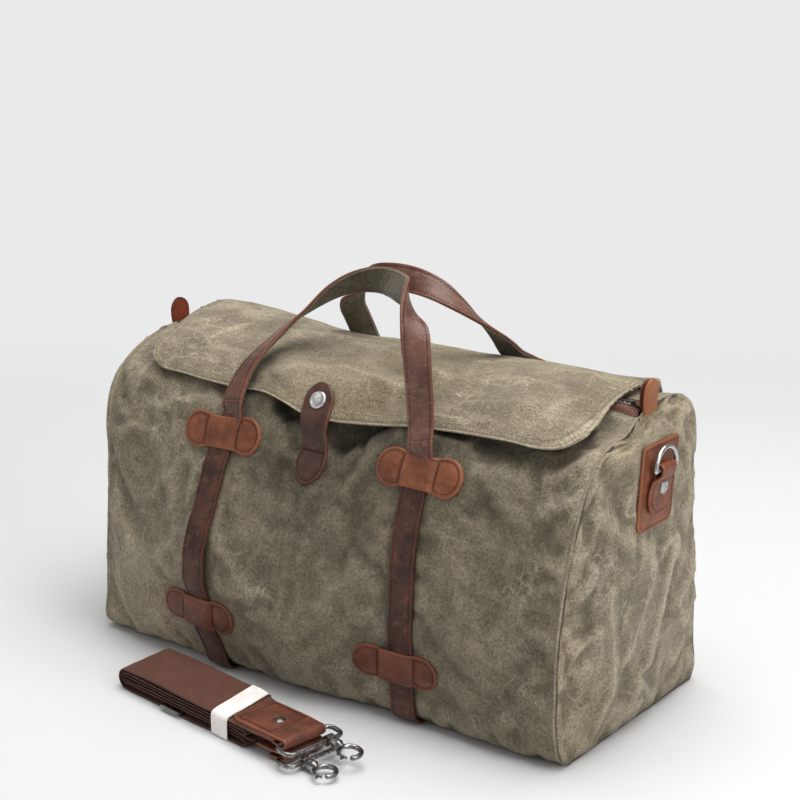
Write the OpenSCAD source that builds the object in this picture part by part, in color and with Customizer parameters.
// Soft weekender bag with a fold-over flap, twin handles and a lift-off
// shoulder strap. Millimetres. X runs along the bag, the front faces -Y, +Z is
// up, and the origin is the middle of the footprint on the floor.

/* [Body] */
// Length between the two end seams
bag_len = 500; // [440:5:560]
// Depth of the footprint, front to back
base_depth = 220; // [200:2:240]
// Height of the canvas at the zip line
bag_height = 274; // [264:1:284]
// How far the front swells out beyond the footprint
front_swell = 20; // [8:1:24]
// How far the back swells out beyond the footprint
back_swell = 10; // [4:1:14]
// Thickness of the canvas panels
canvas_t = 1.6; // [1.2:0.1:1.8]
// How far the middle of each end panel stands out
end_dome = 14; // [12:1:16]

/* [Straps and handles] */
// Width of the leather straps
strap_w = 24; // [20:1:26]
// Thickness of the leather straps
strap_t = 2.6; // [2.2:0.1:2.6]
// Distance from the middle of the bag to each strap
strap_x = 101; // [90:1:110]
// Height of the upper keepers above the floor
keeper_hi_z = 212; // [208:1:214]
// Height of the lower keepers above the floor
keeper_lo_z = 54; // [46:1:60]
// Length of a keeper
keeper_len = 86; // [80:1:90]
// Rise of each handle loop from its fold to its crown
loop_rise = 130; // [120:1:135]

/* [Flap and tab] */
// Length of the flap along the bag
flap_len = 456; // [430:2:470]
// Corner radius of the flap
flap_r = 42; // [30:1:48]
// Thickness of the flap
flap_t = 1.8; // [1.4:0.1:1.8]
// Diameter of the snap cap
snap_d = 14; // [12:0.5:15]

/* [Zip] */
// Distance of the zip behind the middle of the bag
zip_y = 4; // [2:0.5:5]
// Pitch of the zip teeth on one tape
tooth_pitch = 4; // [4:0.5:6]

/* [Rings and shoulder strap] */
// Thickness of the ring wire
wire_d = 4; // [3.6:0.1:4.2]
// Inside width of each side ring
ring_in = 30; // [28:1:32]
// Width of the shoulder webbing
web_w = 50; // [46:1:50]
// Thickness of the shoulder webbing
web_t = 2.2; // [1.8:0.1:2.2]
// Length of the folded bundle of webbing
web_len = 196; // [190:1:200]
// Turn of the folded bundle on the floor, degrees
web_turn = -9; // [-12:1:-6]

/* [Hidden] */

CANVAS = [0.47, 0.44, 0.36];
LEATHER = [0.42, 0.23, 0.17];
TAN = [0.50, 0.28, 0.18];
DARK_LEATHER = [0.30, 0.17, 0.13];
METAL = [0.72, 0.71, 0.69];
DARKMETAL = [0.42, 0.41, 0.40];
BOARD = [0.2, 0.2, 0.19];
COTTON = [0.33, 0.30, 0.25];
TAPE = [0.30, 0.19, 0.16];
HEM = [0.55, 0.52, 0.43];
WEB = [0.36, 0.21, 0.16];
PAPER = [0.9, 0.89, 0.87];

// Throughout, side is -1 for the front and 1 for the back,
// and end is -1 for the left and 1 for the right.

// ---- points and lines ----
function pow_pos(v, power) = pow(max(v, 0), power);
function unit(v) = v / max(1e-9, norm(v));
function rev(pts) = [for (i = [len(pts) - 1:-1:0]) pts[i]];
// a line followed by its mirror image, back to the start
function mirrored(pts) = concat(pts, [for (p = rev(pts)) [-p[0], p[1]]]);

// a point moved by dist to the left of the direction from before to after
function shifted(p, before, after, dist) =
    let(dir = unit(after - before)) p + dist * [-dir[1], dir[0]];
function offset_line(pts, dist) = [for (i = [0:len(pts) - 1])
    shifted(pts[i], pts[max(0, i - 1)], pts[min(len(pts) - 1, i + 1)], dist)];
function offset_loop(pts, dist) = let(n = len(pts)) [for (i = [0:n - 1])
    shifted(pts[i], pts[(i + n - 1) % n], pts[(i + 1) % n], dist)];
// closed outline between two offsets of an open line
function band(pts, dist0, dist1) = concat(offset_line(pts, dist0), rev(offset_line(pts, dist1)));

// where a rising [y, z] line crosses a height, and the part of it below
function at_z(pts, z) =
    let(k = [for (i = [0:len(pts) - 2]) if (pts[i][1] <= z && pts[i + 1][1] > z) i][0],
        f = (z - pts[k][1]) / (pts[k + 1][1] - pts[k][1]))
    pts[k] + f * (pts[k + 1] - pts[k]);
function below(pts, z) = concat([for (p = pts) if (p[1] < z - 0.01) p], [at_z(pts, z)]);

// ---- shared shapes ----
// draw a [y, z] outline and give it a length along X
module along_x(len, x0 = 0) translate([x0, 0, 0]) rotate([90, 0, 90])
    translate([0, 0, -len / 2]) linear_extrude(height = len) children();
// rod centred on the origin along Y, and rod from the origin towards +X
module rod_y(r, len) rotate([90, 0, 0]) cylinder(r = r, h = len, center = true);
module rod_x(r, len) rotate([0, 90, 0]) cylinder(r = r, h = len);
// drawn on the right end, mirrored for the left
module at_end(end) { if (end > 0) children(); else mirror([1, 0, 0]) children(); }

rivet_r = 1.55;
rivet_hole_r = 1.65;
// rivet along +Z, its head cut from a sphere centred dome_drop below the head
module rivet(shank, head_z, head_r, dome_r, dome_drop) {
    cylinder(r = rivet_r, h = shank, $fn = 32);
    translate([0, 0, head_z]) intersection() {
        cylinder(r = head_r, h = 3, $fn = 64);
        translate([0, 0, -dome_drop]) sphere(r = dome_r, $fn = 96);
    }
}

// ---- outline of the bag seen from its end, as [y, z] ----
base_z = 3;                 // underside of the canvas, above the straps that run below it
half_len = bag_len / 2;
half_depth = base_depth / 2;
corner_r = 10;
wall_z = base_z + corner_r; // where the side walls begin
shoulder_z = 195;           // where the shoulders begin
shoulder_rise = bag_height - shoulder_z;
lip = 12;                   // canvas edge to zip centre
wall_steps = 26;
corner_steps = 6;
shoulder_steps = 18;

function wall_y(z, swell, shoulder_y) = let(t = (z - wall_z) / (shoulder_z - wall_z))
    half_depth - (half_depth - shoulder_y) * t
    + swell * pow_pos(sin(180 * pow_pos(t, 0.75)), 1.3);
function corner_pts(side) = [for (i = [0:corner_steps]) let(a = 90 * i / corner_steps)
    [side * (half_depth - corner_r + corner_r * sin(a)), wall_z - corner_r * cos(a)]];
function wall_pts(side, swell, shoulder_y) = [for (i = [1:wall_steps])
    let(z = wall_z + (shoulder_z - wall_z) * i / wall_steps)
    [side * wall_y(z, swell, shoulder_y), z]];
// superellipse from the side wall to the lip beside the zip; a higher power is squarer
function shoulder_pts(side, shoulder_y, power) = let(lip_y = zip_y + side * lip)
    [for (i = [1:shoulder_steps]) let(a = 90 * i / shoulder_steps)
        [lip_y + side * (shoulder_y - side * lip_y) * pow_pos(cos(a), 2 / power),
            shoulder_z + shoulder_rise * pow_pos(sin(a), 2 / power)]];
function profile(side, swell, shoulder_y, power) = concat(corner_pts(side),
    wall_pts(side, swell, shoulder_y), shoulder_pts(side, shoulder_y, power));

// both rise from the floor to the zip
front_pts = profile(-1, front_swell, shoulder_y = 105, power = 1.9);
back_pts = profile(1, back_swell, shoulder_y = 101, power = 2.9);
// up the front and down the back, so a positive offset is outward
closed_pts = concat(front_pts, rev(back_pts));

// ---- canvas body ----
panel_len = bag_len - 2;
module front_panel() color(CANVAS) along_x(panel_len) polygon(band(front_pts, 0, -canvas_t));
module back_panel() color(CANVAS) along_x(panel_len) polygon(band(back_pts, 0, canvas_t));

// bottom canvas, as [x, z]: flat on the floor, lifted over the two straps that run below it
bridge_half = strap_w / 2 + 2;
bridge_foot = bridge_half + 2;
base_path = concat([[-panel_len / 2, 0]],
    [for (x = [-strap_x, strap_x]) each [[x - bridge_foot, 0], [x - bridge_half, base_z],
        [x + bridge_half, base_z], [x + bridge_foot, 0]]],
    [[panel_len / 2, 0]]);
module base_panel() color(CANVAS) rotate([90, 0, 0])
    linear_extrude(height = 2 * (half_depth - corner_r - 0.3), center = true)
        polygon(concat(base_path, rev([for (p = base_path) p + [0, canvas_t]])));

// end panels, cut from a thin spherical shell
dome_edge_r = half_depth + 10;
dome_r = (pow(dome_edge_r, 2) + pow(bag_height / 2, 2)) / (2 * end_dome);
module end_panel(end) color(CANVAS) intersection() {
    along_x(40, end * (half_len + 10)) polygon(closed_pts);
    translate([end * (half_len + end_dome - dome_r), 0, bag_height / 2]) difference() {
        sphere(r = dome_r, $fn = 220);
        sphere(r = dome_r - canvas_t, $fn = 220);
    }
}
module end_panel_right() end_panel(1);
module end_panel_left() end_panel(-1);

// folded seam that stands proud round each end
seam_w = 2.6;
seam_proud = 2.6;
seam_gap = 0.35;
module end_seam(end) color(CANVAS) difference() {
    along_x(seam_w, end * (half_len + 0.8)) polygon(offset_loop(closed_pts, seam_proud));
    along_x(6, end * (half_len + 0.8)) polygon(offset_loop(closed_pts, seam_gap));
}
module end_seam_right() end_seam(1);
module end_seam_left() end_seam(-1);

// stiff board that keeps the bottom flat, between the canvas and the lining
board_x = half_len - 14;
board_y = half_depth - 16;
board_t = 2.4;
module base_board() color(BOARD) difference() {
    translate([-board_x, -board_y, base_z + 2.2]) cube([2 * board_x, 2 * board_y, board_t]);
    for (x = [-board_x, board_x]) for (y = [-board_y, board_y])
        translate([x, y, base_z + 1]) rotate([0, 0, 45]) cube([12, 12, 10], center = true);
}

// cotton lining bag, open along the zip
lining_gap = 3.4;    // inside the outline of the bag
lining_lift = 5.2;   // above the base canvas
lining_t = 0.9;
module lining_body(len, inset) along_x(len)
    polygon([for (p = offset_loop(closed_pts, -lining_gap - inset))
        [p[0], max(p[1], base_z + lining_lift + inset)]]);
module lining() color(COTTON) difference() {
    lining_body(bag_len - 12, 0);
    lining_body(bag_len - 14, lining_t);
    translate([-half_len + 8, zip_y - 15, bag_height - 12]) cube([bag_len - 16, 30, 20]);
}

// ---- zip ----
tape_z = bag_height - 3.2;   // underside of the tapes
tape_w = 12;
zip_len = bag_len - 18;
tooth_size = [1.6, 4.7, 2.6];
cord_size = [zip_len - 4, 1.4, 1.8];
tooth_count = floor((zip_len - 8) / tooth_pitch);
// lowest y, from the zip line, of a part whose inner edge is this far to one side
function zip_part_y(side, inner, width) = side > 0 ? inner : -inner - width;

module zip_tape(side) color(TAPE)
    translate([-zip_len / 2, zip_y + zip_part_y(side, 2.8, tape_w), tape_z])
        cube([zip_len, tape_w, 1.1]);
module zip_tape_front() zip_tape(-1);
module zip_tape_back() zip_tape(1);

// teeth joined by a cord; each reaches past the zip line between those opposite
module zip_teeth(side) color(METAL) translate([0, zip_y, tape_z + 1.2]) {
    translate([-cord_size[0] / 2, zip_part_y(side, 3.2, cord_size[1]), 0]) cube(cord_size);
    for (i = [0:tooth_count - 1])
        translate([(i - (tooth_count - 1) / 2 + side / 4) * tooth_pitch - tooth_size[0] / 2,
            zip_part_y(side, -1.1, tooth_size[1]), 0]) cube(tooth_size);
}
module zip_teeth_front() zip_teeth(-1);
module zip_teeth_back() zip_teeth(1);

// leather tongue that closes each end of the zip
module zip_end_tab(end) color(TAN) translate([end * (half_len - 2.6), zip_y, 0])
    rotate([90, 0, 90]) translate([0, 0, -1.9]) linear_extrude(height = 3.8) {
        translate([-8.5, bag_height - 9]) square([17, 12]);
        translate([-11.5, bag_height + 1]) square([23, 8]);
        translate([0, bag_height + 9]) circle(r = 11.5, $fn = 64);
    }
module zip_end_tabs() for (end = [-1, 1]) zip_end_tab(end);

// slider near the left end, its pull lying towards the right
slider_x = -(half_len - 17);
slider_z = tape_z + 1.5;
slider_len = 14;
slider_w = 14.8;
slider_wall = 1.5;
pin_z = slider_z + 6.6;
module at_pin() translate([slider_x, zip_y, pin_z]) children();
module zip_slider() color(METAL) difference() {
    translate([slider_x - slider_len / 2, zip_y, slider_z]) {
        for (y = [-slider_w / 2, slider_w / 2 - slider_wall])
            translate([0, y, 0]) cube([slider_len, slider_wall, 4.2]);
        translate([0, -slider_w / 2, 3.4]) cube([slider_len, slider_w, slider_wall]);
        // block that holds the pin of the pull
        translate([4, -2, 4.8]) cube([6, 4, 3.9]);
    }
    at_pin() rod_y(1.1, 20, $fn = 32);
}
module zip_pull() color(METAL) at_pin() {
    rod_y(0.95, 8, $fn = 32);
    for (s = [-1, 1]) translate([-1, s * 3.4 - 0.9, -1]) cube([11, 1.8, 2]);
    translate([8, -4.3, -1]) cube([8, 8.6, 2]);
}
// leather over and beyond the end of the metal pull
pull_w = 12;
pull_end = 28;
module zip_pull_leather() color(LEATHER) at_pin() {
    translate([13, -pull_w / 2, 1.15]) cube([pull_end - 13, pull_w, 1.1]);
    translate([16.3, -pull_w / 2, -1]) cube([pull_end - 16.3, pull_w, 2.3]);
}

// ---- straps that run down the front, under the bag and up the back ----
strap_top = keeper_hi_z + 18;
strap_gap = 0.4;
// the path runs down the front, so outward is to its right
strap_path = concat(rev(below(front_pts, strap_top)), below(back_pts, strap_top));
module strap(end) color(LEATHER) along_x(strap_w, end * strap_x)
    polygon(band(strap_path, -strap_gap, -strap_gap - strap_t));
module strap_left() strap(-1);
module strap_right() strap(1);

// section of a keeper stepped over the strap, right half as [x, height]:
// out along the underside and back along the top
keeper_half = [[strap_w / 2 + 1.2, strap_t + 0.8], [strap_w / 2 + 3.6, 0.4],
    [keeper_len / 2 + 1, 0.4], [keeper_len / 2 + 1, 2.4],
    [strap_w / 2 + 5, 2.4], [strap_w / 2 + 2.6, strap_t + 2.9]];
keeper_end_r = 18;
keeper_waist = 29;
// bone-shaped leather keeper, drawn flat: x along the bag, y up, thickness towards +Z
module keeper_flat() intersection() {
    translate([0, 0, -1]) linear_extrude(height = 9) {
        for (s = [-1, 1]) translate([s * (keeper_len / 2 - keeper_end_r), 0])
            circle(r = keeper_end_r, $fn = 72);
        square([keeper_len - 34, keeper_waist], center = true);
    }
    rotate([90, 0, 0]) linear_extrude(height = 44, center = true) polygon(mirrored(keeper_half));
}
// place a flat piece on a side wall at height z, facing out
module on_wall(side, z, x) {
    pts = side < 0 ? front_pts : back_pts;
    mid = at_z(pts, z);
    dir = unit(at_z(pts, z + 6) - at_z(pts, z - 6));
    lean = atan2(-side * dir[0], dir[1]);     // how far the wall leans in towards the middle
    translate([x, mid[0], mid[1]]) rotate([0, 0, side > 0 ? 180 : 0])
        rotate([90 - lean, 0, 0]) children();
}
module keeper(side, z, end) color(TAN) on_wall(side, z, end * strap_x) keeper_flat();
module keeper_front_upper_left() keeper(-1, keeper_hi_z, -1);
module keeper_front_upper_right() keeper(-1, keeper_hi_z, 1);
module keeper_front_lower_left() keeper(-1, keeper_lo_z, -1);
module keeper_front_lower_right() keeper(-1, keeper_lo_z, 1);
module keeper_back_upper_left() keeper(1, keeper_hi_z, -1);
module keeper_back_upper_right() keeper(1, keeper_hi_z, 1);
module keeper_back_lower_left() keeper(1, keeper_lo_z, -1);
module keeper_back_lower_right() keeper(1, keeper_lo_z, 1);

// ---- handles: short legs that fold at the keepers, and loops that fold above them ----
leg_z = keeper_hi_z + 21.5;
leg_y = 109.5;              // outer face of the leg at its lower fold
leg_t = 3.5;
loop_z = leg_z + 17;
loop_y = 104;               // outer face at the upper fold
leg_lean = atan2(leg_y - loop_y, loop_z - leg_z);
leg_gap = 0.6;              // left open at each fold
loop_lean = 39.5;
loop_steps = 44;

module handle_legs(side) color(LEATHER) for (end = [-1, 1])
    translate([end * strap_x - strap_w / 2, side * leg_y, leg_z])
        rotate([side * leg_lean, 0, 0]) translate([0, side > 0 ? -leg_t : 0, leg_gap])
            cube([strap_w, leg_t, (loop_z - leg_z) / cos(leg_lean) - 2 * leg_gap]);

// centre line of a loop in its own plane, t from 0 at the left foot to 180
function loop_mid(t) = [-strap_x * (t <= 90 ? 1 : -1) * pow_pos(abs(cos(t)), 0.86),
    loop_rise * pow_pos(sin(t), 0.92)];
// direction along the loop
function loop_dir(t) = t < 1.5 ? [0, 1] : t > 178.5 ? [0, -1]
    : unit(loop_mid(t + 1) - loop_mid(t - 1));
// across the strap: in the loop plane at the feet, square to it at the crown
function loop_across(t) = let(dir = loop_dir(t), twist = 90 * (1 - cos(t)))
    [cos(twist) * dir[1], -cos(twist) * dir[0], sin(twist)];
function loop_face(t) = let(dir = loop_dir(t)) -cross([dir[0], dir[1], 0], loop_across(t));
function ribbon_pt(t, across, out) = let(mid = loop_mid(t))
    [mid[0], mid[1], 0] + across * loop_across(t) + out * loop_face(t);

// twisting ribbon along the loop, between two distances out from its centre line
module ribbon(out0, out1) {
    w = strap_w / 2;
    section = [[-w, out0], [w, out0], [w, out1], [-w, out1]];
    pts = [for (i = [0:loop_steps]) for (p = section)
        ribbon_pt(180 * i / loop_steps, p[0], p[1])];
    last = 4 * loop_steps;
    faces = concat([[0, 1, 2], [0, 2, 3]],
        [for (i = [0:loop_steps - 1]) for (k = [0:3])
            let(a = 4 * i + k, b = 4 * i + (k + 1) % 4)
            each [[a, a + 4, b + 4], [a, b + 4, b]]],
        [[last, last + 2, last + 1], [last, last + 3, last + 2]]);
    polyhedron(points = pts, faces = faces);
}
// loop plane: local x along the bag, local y up the slope, local z outward
module loop_place(side) translate([0, side * loop_y, loop_z + 0.8])
    rotate([0, 0, side > 0 ? 180 : 0]) rotate([90 - loop_lean, 0, 0]) children();
module handle_leather(side) color(LEATHER) loop_place(side) ribbon(-2.0, 0);
module handle_lining(side) color(CANVAS) loop_place(side) ribbon(-3.7, -2.4);
module handle_front_legs() handle_legs(-1);
module handle_back_legs() handle_legs(1);
module handle_front_leather() handle_leather(-1);
module handle_back_leather() handle_leather(1);
module handle_front_lining() handle_lining(-1);
module handle_back_lining() handle_lining(1);

// ---- flap: sewn behind the zip, lies over it and hangs over the front ----
flap_mid_y = 4;
flap_z = 200;
flap_rise = bag_height + 9 - flap_z;
function flap_pt(a, reach, power) = [flap_mid_y + reach * pow_pos(cos(a), power),
    flap_z + flap_rise * pow_pos(sin(a), power)];
// [y, z] from the front edge, up and over to the sewn back edge
flap_pts = concat(
    [for (i = [0:22]) flap_pt(29 + (90 - 29) * i / 22, -108, 1.05)],
    [for (i = [0:15]) let(p = flap_pt(90 - (90 - 44) * i / 16, 88, 0.62)) if (p[0] > 8) p]);

// flap seen from above, rounded at the front corners, cut in by inset
module flap_outline(inset) translate([0, 0, 180]) linear_extrude(height = 130) {
    x = flap_len / 2 - inset;
    y = flap_pts[0][0] - 2 + inset;
    back_y = flap_pts[len(flap_pts) - 1][0] + 24;
    r = flap_r;
    for (s = [-1, 1]) translate([s * (x - r), y + r]) circle(r = r, $fn = 96);
    translate([-(x - r), y]) square([2 * (x - r), r]);
    translate([-x, y + r]) square([2 * x, back_y - y - r]);
}
module flap_panel() color(CANVAS) intersection() {
    along_x(flap_len + 20) polygon(band(flap_pts, 0, flap_t));
    flap_outline(0);
}
// turned and stitched edge, lying on the border of the flap
hem_w = 8;
module flap_hem() color(HEM) intersection() {
    along_x(flap_len + 20) polygon(band(flap_pts, flap_t + 0.1, flap_t + 1.0));
    difference() {
        flap_outline(0);
        // stretched upward to cut clear through the top
        translate([0, 0, -5]) scale([1, 1, 1.1]) flap_outline(hem_w);
    }
}

// ---- snap, square to the flap at one of its points ----
snap_i = 7;
snap_mid = flap_pts[snap_i];
snap_dir = unit(flap_pts[snap_i + 1] - flap_pts[snap_i - 1]);
snap_lean = atan2(snap_dir[0], snap_dir[1]);
tab_lift = flap_t + 1.5;    // underside of the tab over the flap
tab_t = 2.4;
module at_snap(height) translate([0, snap_mid[0], snap_mid[1]]) rotate([90 - snap_lean, 0, 0])
    translate([0, 0, height]) children();
module flap_snap_stud() color(METAL) at_snap(flap_t + 0.05) {
    cylinder(r = 4.2, h = 0.8, $fn = 48);
    cylinder(r = 2.6, h = 2.7, $fn = 48);
}
module snap_cap() color(METAL) at_snap(tab_lift + tab_t + 0.05) intersection() {
    cylinder(d = snap_d, h = 3, $fn = 72);
    translate([0, 0, -12.3]) sphere(r = 14.6, $fn = 120);
}

// ---- snap tab: sewn to the front panel below the flap, its top lies over the flap ----
tab_path = concat(
    offset_line([for (drop = [28, 18, 9, 0]) at_z(front_pts, keeper_hi_z - drop)], 0.5),
    offset_line([for (i = [0:13]) flap_pts[i]], tab_lift));
tab_low_z = keeper_hi_z - 26;
tab_high_z = keeper_hi_z + 51;
tab_fold_z = keeper_hi_z + 1;
// half widths, and the heights of the rounded foot, the waist and the rounded head
foot_half = 15.5;
waist_half = 13.2;
head_half = 14;
foot_h = 12;
waist_h = 34;
head_h = 9;
function tab_half(z) = let(up = z - tab_low_z, down = tab_high_z - z)
    up < foot_h ? foot_half * sqrt(max(0, 1 - pow(1 - up / foot_h, 1.6))) :
    down < head_h ? head_half * sqrt(max(0, 1 - pow(1 - down / head_h, 2))) :
    up < waist_h ? foot_half - (foot_half - waist_half) * (up - foot_h) / (waist_h - foot_h) :
    waist_half + (head_half - waist_half) * min(1, (up - waist_h) / 20);
tab_zs = [for (i = [0:44]) tab_low_z + 0.1 + (tab_high_z - tab_low_z - 0.2) * i / 44];
module tab_body() intersection() {
    along_x(40) polygon(band(tab_path, 0, tab_t));
    rotate([90, 0, 0]) linear_extrude(height = 400, center = true)
        polygon(mirrored([for (z = tab_zs) [tab_half(z), z]]));
}
// block whose top is at the fold, raised by lift
module below_fold(lift) translate([0, -100, tab_fold_z + lift - 50])
    cube([60, 80, 100], center = true);
// the part sewn down to the front panel
module snap_tab_base() color(DARK_LEATHER) intersection() {
    tab_body();
    below_fold(-0.3);
}
// the free part that folds away at the stitching
module snap_tab() color(DARK_LEATHER) difference() {
    tab_body();
    below_fold(0.3);
    at_snap(0) cylinder(r = 5.2, h = 12, $fn = 48);
}

// ---- side rings on both ends ----
end_x = half_len + end_dome;      // outermost point of the end panel
ring_y = 2;
ring_z = 226;
bar_x = end_x + 7.6;
wire_r = wire_d / 2;
wire_hole_r = wire_r + 0.3;
ring_r = ring_in / 2 + wire_r;
rivet_z = ring_z - 21;
loop_w = 28;
loop_x = end_x + 3;

// rounded corners of the patch: [y, z, radius]
patch_corners = [[-21, -24, 8], [21, -24, 8], [-25, 32, 4], [25, 32, 4]];
module ring_patch(end) color(TAN) at_end(end) translate([end_x + 0.4, ring_y, ring_z - 16])
    rotate([90, 0, 90]) linear_extrude(height = 2.2) {
        square([58, 50], center = true);
        translate([0, 2]) square([50, 68], center = true);
        for (c = patch_corners) translate([c[0], c[1]]) circle(r = c[2], $fn = 48);
        translate([0, -24]) square([42, 16], center = true);
        translate([0, 30]) square([58, 4], center = true);
    }
// leather loop round the bar of the ring, its foot rounded and then cut straight
module ring_loop(end) color(TAN) at_end(end) difference() {
    union() {
        translate([loop_x, ring_y - loop_w / 2, ring_z - 30]) cube([5, loop_w, 27]);
        translate([loop_x, ring_y, ring_z - 30]) rod_x(loop_w / 2, 5, $fn = 72);
        translate([bar_x, ring_y, ring_z]) rod_y(4.6, loop_w, $fn = 64);
        translate([loop_x, ring_y - loop_w / 2, ring_z - 5]) cube([2.2, loop_w, 3]);
    }
    translate([bar_x, ring_y, ring_z]) rod_y(wire_hole_r, 60, $fn = 48);
    translate([end_x + 2, ring_y, rivet_z]) rod_x(rivet_hole_r, 20, $fn = 32);
    translate([end_x + 2, ring_y - 20, ring_z - 60]) cube([20, 40, 18]);
}
module ring_rivets() color(DARKMETAL) for (end = [-1, 1]) at_end(end)
    translate([end_x + 3.1, ring_y, rivet_z]) rotate([0, 90, 0])
        rivet(shank = 6, head_z = 5, head_r = 5.2, dome_r = 8.1, dome_drop = 6.2);
module d_ring(end) color(METAL) at_end(end) translate([bar_x, ring_y, ring_z]) {
    rod_y(wire_r, 2 * ring_r, $fn = 48);
    for (s = [-1, 1]) translate([0, s * ring_r, 0]) sphere(r = wire_r, $fn = 48);
    rotate([90, 0, 90]) rotate_extrude(angle = 180, $fn = 120)
        translate([ring_r, 0]) circle(r = wire_r, $fn = 48);
}
module ring_patch_right() ring_patch(1);
module ring_patch_left() ring_patch(-1);
module ring_loop_right() ring_loop(1);
module ring_loop_left() ring_loop(-1);
module d_ring_right() d_ring(1);
module d_ring_left() d_ring(-1);

// ---- shoulder strap, unhooked and folded on the floor in front ----
web_pos = [-31, -197, 0];
module on_floor() translate(web_pos) rotate([0, 0, web_turn]) children();
fold_x = -web_len / 2 + 8;  // where every layer starts, at the left folds
bar2_x = web_len / 2 + 4;   // bars of the two strap rings
// layers from the floor up: [underside z, right end x]
web_layers = [[0.4, 56], [6.2, 56], [9.0, bar2_x - 32],
    [11.8, 58], [14.6, 58], [17.4, bar2_x - 8]];
// folds: [lower layer, upper layer, -1 at the left or 1 at the right]
web_folds = [[0, 5, -1], [0, 1, 1], [1, 4, -1], [3, 4, 1], [2, 3, -1]];
web_top = web_layers[5][0] + web_t;

module web_fold(low, high, end) {
    low_z = web_layers[low][0];
    high_z = web_layers[high][0];
    x = end < 0 ? fold_x : web_layers[low][1];
    translate([x, (low_z + high_z + web_t) / 2]) intersection() {
        difference() {
            circle(r = (high_z - low_z + web_t) / 2, $fn = 64);
            circle(r = (high_z - low_z - web_t) / 2, $fn = 64);
        }
        translate([end > 0 ? 0 : -20, -20]) square([20, 40]);
    }
}
module shoulder_webbing() color(WEB) on_floor() rotate([90, 0, 0])
    linear_extrude(height = web_w, center = true) {
        for (l = web_layers) translate([fold_x, l[0]]) square([l[1] - fold_x, web_t]);
        for (f = web_folds) web_fold(f[0], f[1], f[2]);
    }
module paper_band() color(PAPER) on_floor() translate([22, 0, 10]) difference() {
    cube([20, web_w + 1.6, 20], center = true);
    cube([22, web_w + 0.9, 19.5], center = true);
}

// leather ends: a flat tail level with the top of a tube round the ring bar
tail_t = 2.2;
tail_w = 46;
up_tube_r = 4.6;
lo_tube_r = 4.2;
up_z = web_top + 0.3 + tail_t - up_tube_r;
lo_z = 6.0;
strap_rivet_x = bar2_x - 28;
module strap_end(z, tube_r, x0) difference() {
    union() {
        translate([x0, -tail_w / 2, z + tube_r - tail_t]) cube([bar2_x - x0, tail_w, tail_t]);
        translate([bar2_x, 0, z]) rod_y(tube_r, tail_w, $fn = 64);
    }
    translate([bar2_x, 0, z]) rod_y(wire_hole_r, 80, $fn = 48);
}
module strap_end_upper() color(LEATHER) on_floor() difference() {
    strap_end(up_z, up_tube_r, 48);
    translate([strap_rivet_x, 0, 0]) cylinder(r = rivet_hole_r, h = 60, $fn = 32);
}
module strap_end_lower() color(LEATHER) on_floor() strap_end(lo_z, lo_tube_r, bar2_x - 30);
module strap_rivet() color(DARKMETAL) on_floor() translate([strap_rivet_x, 0, web_top + 0.4])
    rivet(shank = 3, head_z = 2.2, head_r = 5.4, dome_r = 8.5, dome_drop = 6.6);

// rounded rectangular wire ring, its bar on the local Y axis and its far side at x = ring_d
ring_w = 58;
ring_d = 17;
bend_r = 6;
up_tilt = 6;
module strap_ring() {
    y = ring_w / 2 - bend_r;
    far = ring_d - bend_r;
    for (x = [0, ring_d]) translate([x, 0, 0]) rod_y(wire_r, 2 * y, $fn = 48);
    for (s = [-1, 1]) translate([bend_r, s * ring_w / 2, 0])
        rod_x(wire_r, ring_d - 2 * bend_r, $fn = 48);
    // corner bends: [x, y, start angle]
    for (c = [[bend_r, y, 90], [bend_r, -y, 180], [far, -y, 270], [far, y, 0]])
        translate([c[0], c[1], 0]) rotate([0, 0, c[2]]) rotate_extrude(angle = 90, $fn = 64)
            translate([bend_r, 0]) circle(r = wire_r, $fn = 48);
}
module on_ring(upper) on_floor() translate([bar2_x, 0, upper ? up_z : lo_z])
    rotate([0, upper ? up_tilt : 0, 0]) children();
module strap_ring_upper() color(DARKMETAL) on_ring(true) strap_ring();
module strap_ring_lower() color(DARKMETAL) on_ring(false) strap_ring();

// ---- swivel hooks, drawn along +X from the ring wire at the origin ----
hook_y = 13.5;
hook_x = 24;    // centre of the hook's curve
hook_r = 9;
hook_wire_r = 2.1;
module swivel() {
    difference() {
        union() {
            rod_y(4.4, 7, $fn = 48);
            translate([2, 0, 0]) rod_x(3.5, 5, $fn = 48);
        }
        rod_y(wire_hole_r, 20, $fn = 48);
    }
    translate([6.5, 0, 0]) rod_x(1.6, 5.3, $fn = 32);
}
module hook() {
    // hollow collar that turns on the swivel pin
    difference() {
        union() {
            translate([7.3, 0, 0]) rod_x(4.6, 4, $fn = 48);
            translate([11, 0, 0]) rotate([0, 90, 0]) cylinder(r1 = 4.6, r2 = 2.4, h = 4, $fn = 48);
        }
        translate([6, 0, 0]) rod_x(1.9, 6.3, $fn = 32);
    }
    translate([hook_x, 0, 0]) rotate([0, 0, -30]) rotate_extrude(angle = 252, $fn = 96)
        translate([hook_r, 0]) circle(r = hook_wire_r, $fn = 40);
    translate([hook_x, 0, 0]) rotate([0, 0, -30]) translate([hook_r, 0, 0])
        sphere(r = hook_wire_r, $fn = 40);
}
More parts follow.
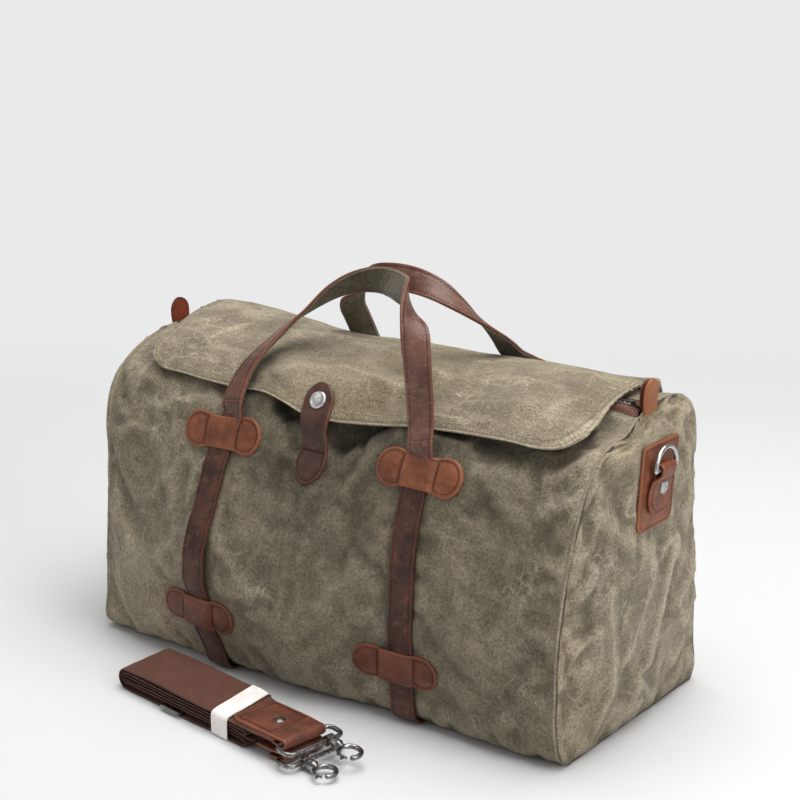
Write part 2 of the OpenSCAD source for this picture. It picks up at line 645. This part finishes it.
// thin bar that closes the hook, with a hinge pin and a thumb stud
module gate() translate([hook_x, 0, 0]) {
    rotate([0, 0, 238]) rotate_extrude(angle = 66, $fn = 96)
        translate([hook_r, 0]) circle(r = 1.3, $fn = 40);
    rotate([0, 0, 238]) translate([hook_r, 0, 0])
        cylinder(r = 1.6, h = 3.6, center = true, $fn = 40);
    rotate([0, 0, 283]) translate([hook_r + 0.5, 0, 0]) rod_x(1.1, 3.4, $fn = 32);
}
module on_hook(upper) on_ring(upper)
    translate([ring_d, upper ? hook_y : -hook_y, 0]) children();
module swivel_upper() color(DARKMETAL) on_hook(true) swivel();
module hook_upper() color(DARKMETAL) on_hook(true) hook();
module hook_gate_upper() color(DARKMETAL) on_hook(true) gate();
module swivel_lower() color(DARKMETAL) on_hook(false) swivel();
module hook_lower() color(DARKMETAL) on_hook(false) hook();
module hook_gate_lower() color(DARKMETAL) on_hook(false) gate();

// three-bar slider between the layers of webbing
bar_r = 1.4;
bar_pitch = 12;
adjuster_w = web_w + 6;
adjuster_z = web_layers[0][0] + web_t + 1.75;
module strap_adjuster() color(DARKMETAL) on_floor() translate([-46, 0, adjuster_z]) {
    for (i = [0:2]) translate([i * bar_pitch, 0, 0]) rod_y(bar_r, adjuster_w, $fn = 32);
    for (s = [-1, 1]) translate([0, s * adjuster_w / 2, 0]) {
        rod_x(bar_r, 2 * bar_pitch, $fn = 32);
        for (i = [0, 2]) translate([i * bar_pitch, 0, 0]) sphere(r = bar_r, $fn = 32);
    }
}

front_panel();
back_panel();
base_panel();
end_panel_right();
end_panel_left();
end_seam_right();
end_seam_left();
base_board();
lining();
zip_tape_front();
zip_tape_back();
zip_teeth_front();
zip_teeth_back();
zip_end_tabs();
zip_slider();
zip_pull();
zip_pull_leather();
strap_left();
strap_right();
keeper_front_upper_left();
keeper_front_upper_right();
keeper_front_lower_left();
keeper_front_lower_right();
keeper_back_upper_left();
keeper_back_upper_right();
keeper_back_lower_left();
keeper_back_lower_right();
handle_front_legs();
handle_front_leather();
handle_front_lining();
handle_back_legs();
handle_back_leather();
handle_back_lining();
flap_panel();
flap_hem();
flap_snap_stud();
snap_tab_base();
snap_tab();
snap_cap();
ring_patch_right();
ring_patch_left();
ring_loop_right();
ring_loop_left();
ring_rivets();
d_ring_right();
d_ring_left();
shoulder_webbing();
paper_band();
strap_end_upper();
strap_end_lower();
strap_rivet();
strap_ring_upper();
strap_ring_lower();
swivel_upper();
swivel_lower();
hook_upper();
hook_lower();
hook_gate_upper();
hook_gate_lower();
strap_adjuster();
